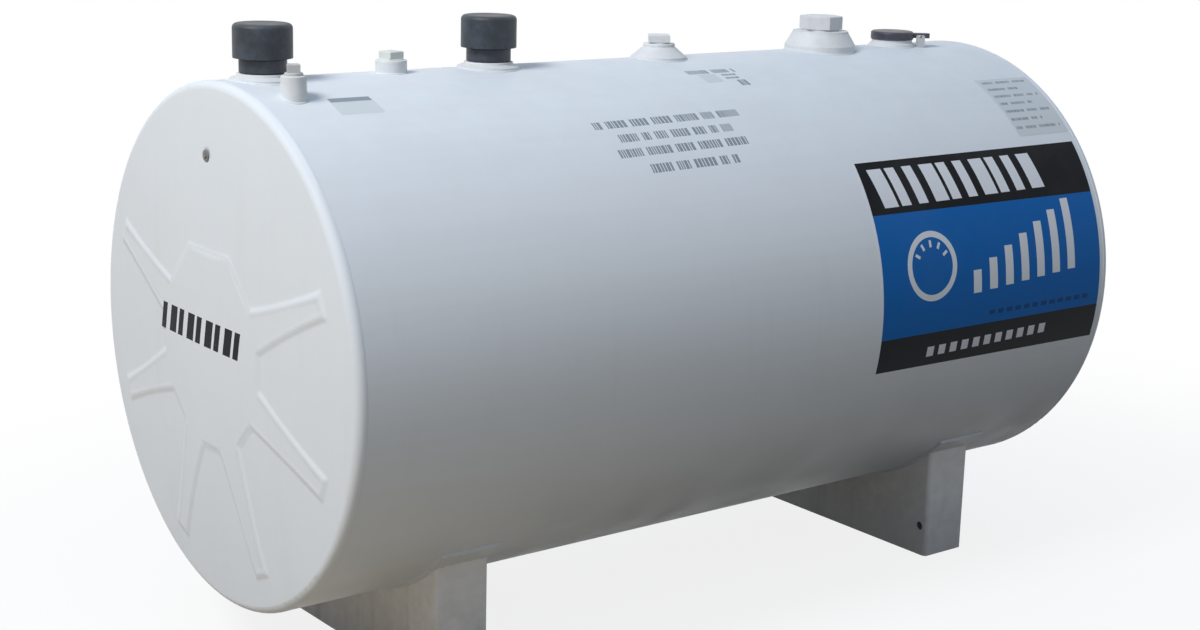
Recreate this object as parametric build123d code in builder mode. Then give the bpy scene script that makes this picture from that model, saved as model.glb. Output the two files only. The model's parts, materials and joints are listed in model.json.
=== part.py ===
from build123d import *
import math
import os

# Horizontal fuel storage tank on two formed plate saddles, in millimetres.
# The origin is on the ground under the tank's middle, X runs along the tank, Z is up,
# and the side with the decals faces -Y.

# Tank body; the shell and the heads share their inner radius, so the thicker heads stand a little proud
tank_radius = 610.0
tank_length = 2444.0
axis_height = 780.0
shell_wall = 3.5
head_wall = 4.0
seam_groove = 2.0
knuckle_radius = 20.0
head_skirt = 5.0
dish_rise = 27.0

# Pressed star on each shallow dished head: an octagonal boss with six tapering arms, none in the
# upper gap. Its outline is where the flanks leave the dish.
dish_seam_turn = 90.0
star_height = 3.5
star_flank = 11.0
star_sink = 2.5
star_spare = 0.5
star_core_sides = 8
star_core_turn = 22.5
star_core_radius = 258.0
star_arm_angles = (22.5, -22.5, -67.5)
star_arm_start = 190.0
star_arm_tip = 520.0
star_arm_root_width = 104.0
star_arm_tip_width = 50.0

# Small plug high on the near head
head_plug_height = 444.0
head_plug_across = -22.0
head_plug_radius = 13.0
head_plug_depth = 10.0
head_plug_proud = 3.5
head_plug_flats = 14.0
head_plug_flats_height = 2.5

# Saddles: a web plate bent round at both ends, open towards +X, with a bottom plate.
# Each web is placed from the tank's end nearest to it.
near_saddle_inset = 361.0
far_saddle_inset = 453.0
saddle_width = 142.0
saddle_half_length = 389.0
saddle_plate = 6.0
saddle_bend = 12.0
tie_hole_radius = 12.5
tie_hole_inset = 28.0
tie_hole_height = 83.0
foot_plate = 6.0
foot_inset = 8.0
wear_plate = 5.0
wear_margin = 12.0
wear_half_angle = 45.0

# Ports on the crown: distance from the tank's nearest end, or from its middle for the pump port
near_vent_inset = 147.0
middle_vent_inset = 757.0
monitor_inset = 133.0
gauge_inset = 482.0
pump_offset = 67.0
large_inset = 582.0
fill_inset = 301.0
monitor_y = -166.0
crown_y = 0.0

# Fits between the pieces of a port, and the sides of the plugs' heads
port_clearance = 0.3
thread_clearance = 0.3
neck_depth = 26.0
plug_depth = 18.0
rim_round = 3.0
plug_chamfer = 2.0
square_sides = 4
hexagon_sides = 6
straight_lip = 0.0

# Emergency vents: flange, body with its throat, and a hood that rests on the throat
vent_flange_base = 76.0
vent_flange_hub = 60.0
vent_flange_lip = 3.0
vent_flange_shoulder = 10.0
vent_flange_height = 15.0
vent_bore = 44.0
vent_body_radius = 54.0
vent_body_height = 34.0
vent_body_round = 4.0
vent_throat_radius = 43.0
vent_throat_bore = 36.0
vent_hood_radius = 67.5
vent_hood_height = 77.0
vent_hood_wall = 5.0
vent_hood_round = 11.0

# Monitor coupling and its square-head plug
monitor_radius = 28.5
monitor_shoulder = 25.0
monitor_height = 50.0
monitor_bore = 21.0
monitor_plug_stand = 6.0
monitor_square = 28.0
monitor_square_height = 19.0
monitor_turn = 20.0

# Gauge coupling and its plug
gauge_radius = 37.0
gauge_shoulder = 15.0
gauge_height = 30.0
gauge_bore = 28.0
gauge_plug_stand = 3.0
gauge_square = 41.0
gauge_square_height = 17.0
gauge_turn = -35.0

# Pump flange, a cone with a square-head plug
pump_flange_base = 72.0
pump_flange_hub = 41.0
pump_flange_lip = 4.0
pump_flange_shoulder = 30.0
pump_flange_height = 38.0
pump_bore = 28.0
pump_plug_stand = 3.0
pump_square = 54.0
pump_square_height = 19.0
pump_turn = 10.0

# Large flange with a hexagonal plug
large_flange_base = 97.0
large_flange_hub = 76.0
large_flange_lip = 12.0
large_flange_shoulder = 47.0
large_flange_height = 51.0
large_bore = 50.0
large_plug_stand = 5.0
large_hexagon = 102.0
large_hexagon_height = 35.0
large_turn = 11.0

# Fill port: flange, low cap with a tongue, and the lug that locks it
fill_flange_base = 64.0
fill_flange_hub = 57.0
fill_flange_lip = 4.0
fill_flange_shoulder = 10.0
fill_flange_height = 18.0
fill_bore = 46.0
fill_cap_radius = 60.0
fill_cap_height = 22.0
fill_cap_round = 6.0
fill_turn = -38.0
fill_tongue_start = 40.0
fill_tongue_reach = 106.0
fill_tongue_width = 26.0
fill_tongue_thickness = 13.0
fill_tongue_drop = 5.0
fill_tongue_round = 8.0
hasp_gap = 0.3
hasp_start = 67.0
hasp_width = 24.0
hasp_plate = 6.0
hasp_height = 31.0
hasp_round = 5.0
hasp_eye_radius = 3.5

# The shell's radii, from the heads' inner radius
inner_radius = tank_radius - head_wall
shell_radius = inner_radius + shell_wall

# Places along the tank, from its two ends
near_end = -tank_length / 2
far_end = tank_length / 2
near_vent_x = near_end + near_vent_inset
middle_vent_x = near_end + middle_vent_inset
monitor_x = near_end + monitor_inset
gauge_x = near_end + gauge_inset
pump_x = pump_offset
large_x = far_end - large_inset
fill_x = far_end - fill_inset

# Head profile: where the shell, the skirt and the knuckle end, and the dish's own circle, which the
# knuckle runs into without a crease
shell_end = tank_length / 2 - dish_rise - knuckle_radius - head_skirt
knuckle_place = shell_end + head_skirt
knuckle_height = tank_radius - knuckle_radius
dish_angle = 2 * math.atan(dish_rise / knuckle_height)
dish_radius = knuckle_radius + knuckle_height / math.sin(dish_angle)
dish_centre = tank_length / 2 - dish_radius
star_taper = math.degrees(math.atan(star_flank / star_height))

# Placing planes and axes
tank_axis = Axis((0, 0, axis_height), (1, 0, 0))
side_plane = Plane(origin=(0, 0, axis_height), x_dir=(1, 0, 0), z_dir=(0, -1, 0))
cross_plane = Plane(origin=(0, 0, axis_height), x_dir=(0, 1, 0), z_dir=(1, 0, 0))
margin = 10.0
port_cut_depth = 300.0

os.makedirs("parts", exist_ok=True)


def write_piece(piece, label):
    """Label a finished piece and write its STEP file."""
    piece.part.label = label
    export_step(piece.part, f"parts/{label}.step")


def surface_height(y):
    """Height of the shell's outer surface over a line y off the crown."""
    return axis_height + math.sqrt(shell_radius**2 - y**2)


def upright_plane(x, y):
    """Plane through a port's vertical axis, its origin on the shell's surface."""
    return Plane(origin=(x, y, surface_height(y)), x_dir=(1, 0, 0), z_dir=(0, -1, 0))


def level_plane(x, y, height):
    """Level plane at a height over the shell's surface at a port."""
    return Plane(origin=(x, y, surface_height(y) + height))


def port_axis(x, y):
    """A port's vertical axis."""
    return Axis((x, y, 0), (0, 0, 1))


# Ports that pass through the shell, as (x, y, neck radius)
port_necks = (
    (near_vent_x, crown_y, vent_flange_hub),
    (middle_vent_x, crown_y, vent_flange_hub),
    (monitor_x, monitor_y, monitor_radius),
    (gauge_x, crown_y, gauge_radius),
    (pump_x, crown_y, pump_flange_hub),
    (large_x, crown_y, large_flange_hub),
    (fill_x, crown_y, fill_flange_hub),
)

# Shell: a rolled tube, bevelled for its end seams, with a hole for each port's neck
with BuildPart() as shell:
    with BuildSketch(cross_plane.offset(-shell_end)):
        Circle(shell_radius)
        Circle(inner_radius, mode=Mode.SUBTRACT)
    extrude(amount=2 * shell_end)
    outer_rims = shell.edges().filter_by(GeomType.CIRCLE).group_by(SortBy.RADIUS)[-1]
    chamfer(outer_rims, length=seam_groove)
    for neck_x, neck_y, neck_radius in port_necks:
        with BuildSketch(level_plane(neck_x, neck_y, margin)):
            Circle(neck_radius + port_clearance)
        extrude(amount=-port_cut_depth, mode=Mode.SUBTRACT)
write_piece(shell, "shell")


def head_plane(side, depth):
    """Plane at a depth behind a head's middle, seen from outside the tank."""
    return Plane(
        origin=(side * (tank_length / 2 - depth), 0, axis_height),
        x_dir=(0, side, 0),
        z_dir=(side, 0, 0),
    )


def dish_drop(distance):
    """How far the dish falls back from its middle at a distance from the tank's axis."""
    return dish_radius - math.sqrt(dish_radius**2 - distance**2)


def dish_point(side, growth, angle):
    """Point of the head's profile on the dish, or on an offset of it."""
    reach = dish_radius + growth
    return (side * (dish_centre + reach * math.cos(angle)), reach * math.sin(angle))


def knuckle_point(side, growth, angle):
    """Point of the head's profile on the knuckle, or on an offset of it."""
    reach = knuckle_radius + growth
    return (side * (knuckle_place + reach * math.cos(angle)),
            knuckle_height + reach * math.sin(angle))


def dish_layer(side, low, high):
    """Round shell between two offsets of the dish, with its poles and seam off the head."""
    with BuildPart() as layer:
        with Locations((side * dish_centre, 0, axis_height)):
            Sphere(dish_radius + high, rotation=(0, 0, dish_seam_turn))
            Sphere(dish_radius + low, rotation=(0, 0, dish_seam_turn), mode=Mode.SUBTRACT)
    return layer.part


def arm_outline(start, growth):
    """Outline of one arm from a place on it, widened by a growth."""
    Polygon(
        (star_arm_start - start, -star_arm_root_width / 2 - growth),
        (star_arm_tip - start + growth, -star_arm_tip_width / 2 - growth),
        (star_arm_tip - start + growth, star_arm_tip_width / 2 + growth),
        (star_arm_start - start, star_arm_root_width / 2 + growth),
        align=None,
    )


def arm_plane(side, angle, distance):
    """Plane that touches the dish at a distance out along an arm, with X along the arm."""
    turn = math.radians(angle)
    tilt = math.asin(distance / dish_radius)
    outward = Vector(0, side * math.cos(turn), math.sin(turn))
    along_axis = Vector(side, 0, 0)
    normal = along_axis * math.cos(tilt) + outward * math.sin(tilt)
    centre = Vector(side * dish_centre, 0, axis_height)
    return Plane(
        origin=centre + normal * dish_radius,
        x_dir=outward * math.cos(tilt) - along_axis * math.sin(tilt),
        z_dir=normal,
    )


def pressed_star(side, angles):
    """The star's raised solid: sloping flanks under an offset of the dish."""
    spread = star_sink * star_flank / star_height
    core_drop = dish_drop(star_core_radius)
    arm_middle = (star_arm_start + star_arm_tip) / 2
    with BuildPart() as star:
        with BuildSketch(head_plane(side, core_drop + star_sink)):
            RegularPolygon(
                radius=star_core_radius + spread,
                side_count=star_core_sides,
                rotation=star_core_turn,
            )
        extrude(amount=core_drop + star_sink + star_height + star_spare, taper=star_taper)
        for angle in angles:
            with BuildSketch(arm_plane(side, angle, arm_middle).offset(-star_sink)):
                arm_outline(arm_middle, spread)
            extrude(amount=star_sink + star_height + star_spare, taper=star_taper)
        add(dish_layer(side, -head_wall / 2, star_height), mode=Mode.INTERSECT)
    return star.part


def star_hollow(side, angles):
    """The hollow behind the star, inside the head."""
    depth = dish_drop(knuckle_height)
    with BuildPart() as hollow:
        with BuildSketch(head_plane(side, depth)):
            RegularPolygon(
                radius=star_core_radius - star_flank,
                side_count=star_core_sides,
                rotation=star_core_turn,
            )
            for angle in angles:
                with Locations(Location((0, 0, 0), (0, 0, angle))):
                    arm_outline(0, -star_flank)
        extrude(amount=depth + star_height)
        add(dish_layer(side, -head_wall - star_spare, star_height - head_wall),
            mode=Mode.INTERSECT)
    return hollow.part


def write_head(side, label, plug_hole_radius):
    """Flanged, shallow dished head with its pressed star; side is -1 near and 1 far."""
    bend = (dish_angle + math.pi / 2) / 2
    angles = (*star_arm_angles, *(180 - angle for angle in star_arm_angles))
    with BuildPart() as head:
        with BuildSketch(side_plane):
            with BuildLine():
                Polyline(
                    (side * knuckle_place, inner_radius),
                    (side * shell_end, inner_radius),
                    (side * shell_end, tank_radius - seam_groove),
                    (side * (shell_end + seam_groove), tank_radius),
                    (side * knuckle_place, tank_radius),
                )
                ThreePointArc((side * knuckle_place, tank_radius), knuckle_point(side, 0, bend),
                              dish_point(side, 0, dish_angle))
                ThreePointArc(dish_point(side, 0, dish_angle),
                              dish_point(side, 0, dish_angle / 2), dish_point(side, 0, 0))
                Line(dish_point(side, 0, 0), dish_point(side, -head_wall, 0))
                ThreePointArc(dish_point(side, -head_wall, 0),
                              dish_point(side, -head_wall, dish_angle / 2),
                              dish_point(side, -head_wall, dish_angle))
                ThreePointArc(dish_point(side, -head_wall, dish_angle),
                              knuckle_point(side, -head_wall, bend),
                              (side * knuckle_place, inner_radius))
            make_face()
        revolve(axis=tank_axis)
        add(pressed_star(side, angles))
        add(star_hollow(side, angles), mode=Mode.SUBTRACT)
        if plug_hole_radius:
            with BuildSketch(head_plane(side, plug_drop + head_wall + margin)):
                with Locations((head_plug_across, head_plug_height)):
                    Circle(plug_hole_radius)
            extrude(amount=head_wall + 2 * margin, mode=Mode.SUBTRACT)
    write_piece(head, label)


plug_drop = dish_drop(math.hypot(head_plug_across, head_plug_height))
write_head(-1, "near_head", head_plug_radius + thread_clearance)
write_head(1, "far_head", 0)

# Small plug in the near head
with BuildPart() as head_plug:
    with BuildSketch(head_plane(-1, plug_drop + head_plug_depth)):
        with Locations((head_plug_across, head_plug_height)):
            Circle(head_plug_radius)
    extrude(amount=head_plug_depth + head_plug_proud)
    with BuildSketch(head_plane(-1, plug_drop - head_plug_proud)):
        with Locations((head_plug_across, head_plug_height)):
            RegularPolygon(radius=head_plug_flats / 2, side_count=square_sides)
    extrude(amount=head_plug_flats_height)
write_piece(head_plug, "head_plug")


def write_saddle(web_x, prefix):
    """Bent saddle plate, its bottom plate and the curved wear plate above it."""
    seat_radius = shell_radius + wear_plate
    middle_x = web_x + saddle_width / 2
    with BuildPart() as saddle:
        with BuildSketch(Plane.XY):
            with Locations((middle_x, 0)):
                Rectangle(saddle_width, 2 * saddle_half_length)
            with Locations((middle_x + saddle_plate, 0)):
                Rectangle(
                    saddle_width,
                    2 * (saddle_half_length - saddle_plate),
                    mode=Mode.SUBTRACT,
                )
        extrude(amount=axis_height)
        inner_corners = saddle.edges().filter_by(Axis.Z).group_by(Axis.X)[1]
        fillet(inner_corners, radius=saddle_bend - saddle_plate)
        outer_corners = saddle.edges().filter_by(Axis.Z).group_by(Axis.X)[0]
        fillet(outer_corners, radius=saddle_bend)
        with BuildSketch(cross_plane.offset(web_x - margin)):
            Circle(seat_radius)
        extrude(amount=saddle_width + 2 * margin, mode=Mode.SUBTRACT)
        hole_y = saddle_half_length - tie_hole_inset
        hole_plane = Plane(origin=(web_x - margin, 0, 0), x_dir=(0, 1, 0), z_dir=(1, 0, 0))
        with BuildSketch(hole_plane):
            with Locations((-hole_y, tie_hole_height), (hole_y, tie_hole_height)):
                Circle(tie_hole_radius)
        extrude(amount=saddle_plate + 2 * margin, mode=Mode.SUBTRACT)
    write_piece(saddle, f"{prefix}_saddle")

    inner_half = saddle_half_length - saddle_plate
    foot_length = saddle_width - saddle_plate - foot_inset
    foot_x = web_x + saddle_plate + foot_length / 2
    with BuildPart() as foot:
        with BuildSketch(Plane.XY):
            with Locations((foot_x, 0)):
                Rectangle(foot_length, 2 * inner_half)
        extrude(amount=foot_plate)
        web_corners = foot.edges().filter_by(Axis.Z).group_by(Axis.X)[0]
        fillet(web_corners, radius=saddle_bend - saddle_plate)
    write_piece(foot, f"{prefix}_saddle_foot")

    with BuildPart() as wear:
        with BuildSketch(cross_plane.offset(web_x - wear_margin)):
            Circle(seat_radius)
            Circle(shell_radius, mode=Mode.SUBTRACT)
            reach = 2 * tank_radius
            left = math.radians(-90 - wear_half_angle)
            right = math.radians(-90 + wear_half_angle)
            with BuildLine():
                Polyline(
                    (0, 0),
                    (reach * math.cos(left), reach * math.sin(left)),
                    (0, -2 * reach),
                    (reach * math.cos(right), reach * math.sin(right)),
                    close=True,
                )
            make_face(mode=Mode.INTERSECT)
        extrude(amount=saddle_width + 2 * wear_margin)
    write_piece(wear, f"{prefix}_wear_plate")


write_saddle(near_end + near_saddle_inset, "near")
write_saddle(far_end - far_saddle_inset, "far")


def write_flange(label, x, y, base, hub, lip, shoulder, height, bore):
    """Port flange or coupling: a collar seated on the shell, a neck through it and a bore."""
    drop = surface_height(y) - surface_height(abs(y) + base) + margin
    with BuildPart() as flange:
        with BuildSketch(upright_plane(x, y)):
            with BuildLine():
                Polyline(
                    (0, -drop),
                    (base, -drop),
                    (base, lip),
                    (hub, shoulder),
                    (hub, height),
                    (0, height),
                    close=True,
                )
            make_face()
        revolve(axis=port_axis(x, y))
        with BuildSketch(cross_plane.offset(x - base - margin)):
            Circle(shell_radius)
        extrude(amount=2 * (base + margin), mode=Mode.SUBTRACT)
        with BuildSketch(level_plane(x, y, height / 2)):
            Circle(hub)
        extrude(amount=-(height / 2 + neck_depth))
        with BuildSketch(level_plane(x, y, height)):
            Circle(bore)
        extrude(amount=-(height + neck_depth + margin), mode=Mode.SUBTRACT)
        top_circles = flange.edges().filter_by(GeomType.CIRCLE).group_by(Axis.Z)[-1]
        outer_rim = top_circles.sort_by(SortBy.RADIUS)[-1]
        fillet(outer_rim, radius=min(rim_round, (hub - bore) / 2))
    write_piece(flange, label)


def write_plug(label, x, y, seat, bore, stand, sides, flats, head_height, turn):
    """Threaded plug screwed into a port, with a square or hexagonal head above it."""
    with BuildPart() as plug:
        with BuildSketch(level_plane(x, y, seat - plug_depth)):
            Circle(bore - thread_clearance)
        extrude(amount=plug_depth + stand)
        chamfer(plug.faces().sort_by(Axis.Z)[-1].edges(), length=plug_chamfer)
        with BuildSketch(level_plane(x, y, seat + stand)):
            RegularPolygon(radius=flats / 2, side_count=sides, major_radius=False, rotation=turn)
        extrude(amount=head_height)
        chamfer(plug.faces().sort_by(Axis.Z)[-1].edges(), length=plug_chamfer)
    write_piece(plug, label)


def write_vent(x, prefix):
    """Emergency vent: flange, body screwed into it and a hood resting on the body's throat."""
    write_flange(f"{prefix}_vent_flange", x, crown_y, vent_flange_base, vent_flange_hub,
                 vent_flange_lip, vent_flange_shoulder, vent_flange_height, vent_bore)
    spigot = vent_bore - thread_clearance
    skirt = vent_flange_height + vent_body_height
    top = skirt + vent_hood_height
    seat = top - vent_hood_wall
    hood_bore = vent_hood_radius - vent_hood_wall
    with BuildPart() as body:
        with BuildSketch(upright_plane(x, crown_y)):
            with BuildLine():
                Polyline(
                    (vent_throat_bore, vent_flange_height - plug_depth),
                    (spigot, vent_flange_height - plug_depth),
                    (spigot, vent_flange_height),
                    (vent_body_radius, vent_flange_height),
                    (vent_body_radius, skirt),
                    (vent_throat_radius, skirt),
                    (vent_throat_radius, seat),
                    (vent_throat_bore, seat),
                    close=True,
                )
            make_face()
        revolve(axis=port_axis(x, crown_y))
        collar_edges = body.edges().filter_by(GeomType.CIRCLE).group_by(SortBy.RADIUS)[-1]
        fillet(collar_edges, radius=vent_body_round)
    write_piece(body, f"{prefix}_vent_body")
    with BuildPart() as hood:
        with BuildSketch(upright_plane(x, crown_y)):
            with BuildLine():
                Polyline(
                    (0, seat),
                    (hood_bore, seat),
                    (hood_bore, skirt),
                    (vent_hood_radius, skirt),
                    (vent_hood_radius, top),
                    (0, top),
                    close=True,
                )
            make_face()
        revolve(axis=port_axis(x, crown_y))
        fillet(hood.faces().sort_by(Axis.Z)[-1].edges(), radius=vent_hood_round)
    write_piece(hood, f"{prefix}_vent_hood")


write_vent(near_vent_x, "near")
write_vent(middle_vent_x, "middle")

write_flange("monitor_coupling", monitor_x, monitor_y, monitor_radius, monitor_radius,
             straight_lip, monitor_shoulder, monitor_height, monitor_bore)
write_plug("monitor_plug", monitor_x, monitor_y, monitor_height, monitor_bore,
           monitor_plug_stand, square_sides, monitor_square, monitor_square_height, monitor_turn)

write_flange("gauge_coupling", gauge_x, crown_y, gauge_radius, gauge_radius,
             straight_lip, gauge_shoulder, gauge_height, gauge_bore)
write_plug("gauge_plug", gauge_x, crown_y, gauge_height, gauge_bore,
           gauge_plug_stand, square_sides, gauge_square, gauge_square_height, gauge_turn)

write_flange("pump_flange", pump_x, crown_y, pump_flange_base, pump_flange_hub,
             pump_flange_lip, pump_flange_shoulder, pump_flange_height, pump_bore)
write_plug("pump_plug", pump_x, crown_y, pump_flange_height, pump_bore,
           pump_plug_stand, square_sides, pump_square, pump_square_height, pump_turn)

write_flange("large_flange", large_x, crown_y, large_flange_base, large_flange_hub,
             large_flange_lip, large_flange_shoulder, large_flange_height, large_bore)
write_plug("large_plug", large_x, crown_y, large_flange_height, large_bore,
           large_plug_stand, hexagon_sides, large_hexagon, large_hexagon_height, large_turn)

write_flange("fill_flange", fill_x, crown_y, fill_flange_base, fill_flange_hub,
             fill_flange_lip, fill_flange_shoulder, fill_flange_height, fill_bore)

# Fill cap: a low round cap with a spigot in the flange and a tongue that takes a padlock
fill_cap_top = fill_flange_height + fill_cap_height
fill_tongue_top = fill_cap_top - fill_tongue_drop
tongue_middle = (fill_tongue_start + fill_tongue_reach) / 2
eye_along = hasp_start + hasp_width / 2
eye_height = (fill_tongue_top - fill_tongue_thickness + hasp_height) / 2
turned_x = (math.cos(math.radians(fill_turn)), math.sin(math.radians(fill_turn)), 0)
turned_side = (-turned_x[1], turned_x[0], 0)
fill_crown = (fill_x, crown_y, surface_height(crown_y))
tongue_plane = Plane(origin=fill_crown, x_dir=turned_x, z_dir=(0, 0, 1))
lug_plane = Plane(
    origin=fill_crown,
    x_dir=turned_x,
    z_dir=(-turned_side[0], -turned_side[1], 0),
)
with BuildPart() as fill_cap:
    with BuildSketch(level_plane(fill_x, crown_y, fill_flange_height - plug_depth)):
        Circle(fill_bore - thread_clearance)
    extrude(amount=plug_depth)
    with BuildSketch(level_plane(fill_x, crown_y, fill_flange_height)):
        Circle(fill_cap_radius)
    extrude(amount=fill_cap_height)
    fillet(fill_cap.faces().sort_by(Axis.Z)[-1].edges(), radius=fill_cap_round)
    with BuildSketch(tongue_plane.offset(fill_tongue_top - fill_tongue_thickness)) as tongue:
        with Locations((tongue_middle, 0)):
            Rectangle(fill_tongue_reach - fill_tongue_start, fill_tongue_width)
        fillet(tongue.vertices().group_by(Axis.X)[-1], radius=fill_tongue_round)
    extrude(amount=fill_tongue_thickness)
    with BuildSketch(lug_plane.offset(-fill_tongue_width)):
        with Locations((eye_along, eye_height)):
            Circle(hasp_eye_radius)
    extrude(amount=2 * fill_tongue_width, mode=Mode.SUBTRACT)
write_piece(fill_cap, "fill_cap")

# Locking lug: an upright plate on the shell beside the tongue, with the same eye
with BuildPart() as fill_hasp:
    with BuildSketch(lug_plane.offset(fill_tongue_width / 2 + hasp_gap)) as lug:
        with Locations((eye_along, (hasp_height - neck_depth) / 2)):
            Rectangle(hasp_width, hasp_height + neck_depth)
        fillet(lug.vertices().group_by(Axis.Y)[-1], radius=hasp_round)
        with Locations((eye_along, eye_height)):
            Circle(hasp_eye_radius, mode=Mode.SUBTRACT)
    extrude(amount=hasp_plate)
    with BuildSketch(cross_plane.offset(fill_x)):
        Circle(shell_radius)
    extrude(amount=fill_tongue_reach + margin, mode=Mode.SUBTRACT)
write_piece(fill_hasp, "fill_hasp")
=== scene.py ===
"""Finishes, welds, decals and studio for a white horizontal fuel tank on two saddles."""

import json
import math
import random

import bmesh
import bpy
from bpy.props import FloatProperty, FloatVectorProperty, PointerProperty
from mathutils import Matrix, Vector

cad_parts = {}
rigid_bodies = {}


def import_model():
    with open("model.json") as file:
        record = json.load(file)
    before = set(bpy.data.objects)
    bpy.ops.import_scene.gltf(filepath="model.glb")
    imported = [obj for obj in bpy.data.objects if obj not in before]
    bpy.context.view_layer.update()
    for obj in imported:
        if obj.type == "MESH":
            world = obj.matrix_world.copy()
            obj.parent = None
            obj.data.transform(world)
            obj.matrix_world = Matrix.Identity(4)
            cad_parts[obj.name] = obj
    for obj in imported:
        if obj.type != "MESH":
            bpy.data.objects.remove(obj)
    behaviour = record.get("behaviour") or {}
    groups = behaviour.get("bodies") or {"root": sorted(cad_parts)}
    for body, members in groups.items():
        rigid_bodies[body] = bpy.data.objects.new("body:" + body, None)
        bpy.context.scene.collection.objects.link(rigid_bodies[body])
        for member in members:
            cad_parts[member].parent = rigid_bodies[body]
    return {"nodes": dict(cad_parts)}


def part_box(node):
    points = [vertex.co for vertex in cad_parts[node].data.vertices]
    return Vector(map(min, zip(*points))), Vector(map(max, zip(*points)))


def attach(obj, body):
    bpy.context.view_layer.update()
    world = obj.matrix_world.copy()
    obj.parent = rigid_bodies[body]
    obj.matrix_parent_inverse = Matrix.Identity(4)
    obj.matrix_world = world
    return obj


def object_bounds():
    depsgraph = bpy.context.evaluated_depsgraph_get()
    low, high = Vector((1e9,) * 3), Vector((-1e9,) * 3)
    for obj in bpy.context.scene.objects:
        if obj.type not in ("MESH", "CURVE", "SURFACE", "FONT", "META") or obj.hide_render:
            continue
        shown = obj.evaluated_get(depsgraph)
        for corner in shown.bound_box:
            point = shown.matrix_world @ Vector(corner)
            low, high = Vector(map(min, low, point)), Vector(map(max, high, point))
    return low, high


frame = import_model()
NODES = frame["nodes"]
CAD_LOW, CAD_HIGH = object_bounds()

SHELL_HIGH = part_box("shell")[1]
SHELL_RADIUS = SHELL_HIGH.y
AXIS_HEIGHT = round(SHELL_HIGH.z - SHELL_RADIUS, 4)
ARC_PER_DEGREE = math.radians(SHELL_RADIUS)
SEAM_PLACE = SHELL_HIGH.x
WEAR_PLATE_THICKNESS = 0.005

# The near head stands furthest out on its pressed star, whose face is a part of this sphere.
HEAD_FACE = CAD_LOW.x
DISH_RADIUS = 6.4833

PORTS = ("near_vent_flange", "middle_vent_flange", "monitor_coupling", "gauge_coupling",
         "pump_flange", "large_flange", "fill_flange")

DUST_TONE = (0.56, 0.54, 0.50)
GRIME_TONE = (0.17, 0.145, 0.115)
RUN_TONE = (0.40, 0.38, 0.35)
RUST_TONE = (0.20, 0.075, 0.028)
STEEL_TONE = (0.26, 0.25, 0.24)

# How far a sheet reaches into the steel under it, so that no gap shows on the facets.
FILM_SINK = 0.0008
HEAD_FILM_SINK = 0.0015
# How far each sheet stands over the steel. A sheet on another one stands higher.
FILM_TOPS = {
    "decal_backing": 0.00008,
    "decal_blue_field": 0.00018,
    "decal_black_fields": 0.00026,
    "decal_deep_marks": 0.00030,
    "decal_pale_marks": 0.00034,
    "printed_rows": 0.00012,
    "label_sheets": 0.00010,
    "label_print": 0.00018,
    "head_mark": 0.00015,
}

bl_info = {
    "name": "Fuel Tank Finisher",
    "version": (1, 0, 0),
    "blender": (4, 5, 0),
    "location": "View3D > Sidebar > Fuel Tank",
    "description": "Paints a packed horizontal fuel tank, lays its welds and decals and lights it",
    "category": "Object",
}


def colour(name, description, default):
    """A colour that a user may change."""
    return FloatVectorProperty(name=name, description=description, default=default,
                               subtype="COLOR", size=3, min=0.0, max=1.0)


def length(name, description, default, smallest, largest):
    """A length in metres that a user may change."""
    return FloatProperty(name=name, description=description, default=default,
                         min=smallest, max=largest, subtype="DISTANCE", unit="LENGTH")


def share(name, description, default):
    """A share from none to all that a user may change."""
    return FloatProperty(name=name, description=description, default=default,
                         min=0.0, max=1.0, subtype="FACTOR")


def turn(name, description, default):
    """An angle that a user may change, given in degrees."""
    return FloatProperty(name=name, description=description, default=math.radians(default),
                         subtype="ANGLE", unit="ROTATION")


class TankFinish(bpy.types.PropertyGroup):
    """Colours and wear of the painted tank."""

    enamel: colour("Tank enamel", "White enamel on shell and heads", (0.775, 0.812, 0.85))
    saddle: colour("Saddle paint", "Duller white on the saddles", (0.90, 0.875, 0.84))
    ports: colour("Port paint", "Brushed white on the threaded ports", (0.76, 0.77, 0.78))
    vents: colour("Vent coating", "Blue-black coating of the vent caps", (0.025, 0.032, 0.042))
    gauge: colour("Gauge plug", "Cream plastic of the small plug", (0.72, 0.75, 0.71))
    cap: colour("Fill cap", "Slate coating of the low cap", (0.040, 0.041, 0.058))
    plug: colour("Head plug", "Dull steel of the plug in the head", (0.20, 0.20, 0.20))
    dust: share("Dust", "How much dust lies on what faces up", 0.12)
    grime: share("Grime", "How much dirt clings near the ground", 0.30)
    chips: share("Chips", "How worn the painted edges are", 0.4)
    gloss: share("Gloss", "How glossy the enamel is", 0.62)


class TankTrim(bpy.types.PropertyGroup):
    """Sizes and colours of welds and decals."""

    bead: length("Weld bead", "Radius of a fillet bead", 0.0032, 0.0005, 0.02)
    ripple: share("Weld ripple", "How strongly the beads ripple", 0.12)
    decal_start: length("Decal start", "Near edge of the big decal, along the tank",
                        0.319, -1.2, 1.2)
    decal_end: length("Decal end", "Far edge of the big decal", 1.156, -1.2, 1.2)
    decal_top: turn("Decal top", "Upper edge of the big decal, from the crown", 51.5)
    decal_foot: turn("Decal foot", "Lower edge of the big decal, from the crown", 103.2)
    blue: colour("Decal blue", "Blue vinyl", (0.006, 0.135, 0.45))
    black: colour("Decal black", "Black vinyl", (0.003, 0.005, 0.009))
    pale: colour("Decal pale", "Pale vinyl", (0.78, 0.80, 0.84))
    print_grey: colour("Print grey", "Grey ink of the printed rows", (0.27, 0.31, 0.35))
    label: colour("Label", "Pale silver of the small labels", (0.63, 0.67, 0.69))


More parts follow.
